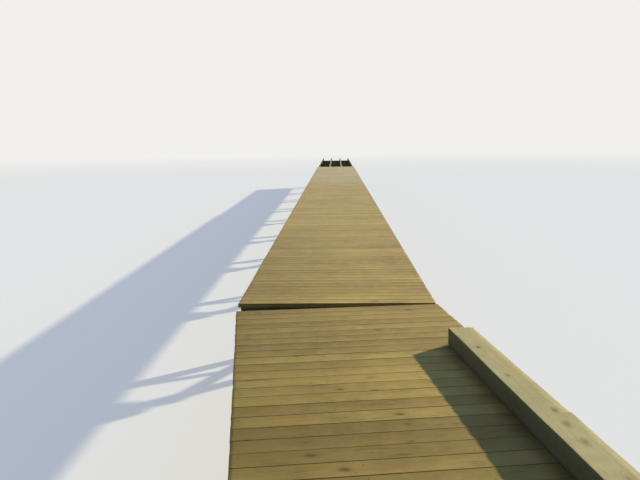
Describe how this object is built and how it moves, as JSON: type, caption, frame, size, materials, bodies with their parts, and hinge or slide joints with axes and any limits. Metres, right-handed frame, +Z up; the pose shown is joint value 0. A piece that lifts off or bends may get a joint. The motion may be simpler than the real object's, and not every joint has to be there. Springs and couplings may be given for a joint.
{
  "type": "1:2 scale model of a wooden jetty",
  "caption": "Straight timber jetty at half size with a turn near the shore, crosswise plank decks, bare stringers at the far end, capped and braced round piles and a squared kerb timber.",
  "frame": {"origin": "middle of the whole jetty's box, at the level of the pile feet", "axes": "+Y along the long leg from the turn towards the water, +X to the right when looking along +Y, +Z up"},
  "size_m": [1.225, 24.2394, 1.063],
  "materials": {
    "deck_planks": "matte",
    "frame_timber": "matte",
    "round_piles": "matte",
    "squared_timber": "matte"
  },
  "bodies": {
    "root": {"far_blocking": "frame_timber", "far_braces_rising_left": "frame_timber", "far_braces_rising_right": "frame_timber", "far_caps_shore_side": "frame_timber", "far_caps_water_side": "frame_timber", "far_deck_bay_1": "deck_planks", "far_deck_bay_2": "deck_planks", "far_deck_bay_3": "deck_planks", "far_deck_bay_4": "deck_planks", "far_deck_bay_5": "deck_planks", "far_deck_bay_6": "deck_planks", "far_piles_left": "round_piles", "far_piles_right": "round_piles", "far_stringers_bay_1": "frame_timber", "far_stringers_bay_2": "frame_timber", "far_stringers_bay_3": "frame_timber", "far_stringers_bay_4": "frame_timber", "far_stringers_bay_5": "frame_timber", "far_stringers_bay_6": "frame_timber", "far_stringers_bay_7": "frame_timber", "far_stringers_bay_8": "frame_timber", "far_stringers_bay_9": "frame_timber", "kerb_timber": "squared_timber", "near_blocking": "frame_timber", "near_braces_rising_left": "frame_timber", "near_braces_rising_right": "frame_timber", "near_caps_shore_side": "frame_timber", "near_caps_water_side": "frame_timber", "near_deck": "deck_planks", "near_piles": "round_piles", "near_stringers": "frame_timber", "shore_header": "frame_timber", "turn_header_far": "frame_timber", "turn_header_near": "frame_timber"}
  },
  "joints": []
}
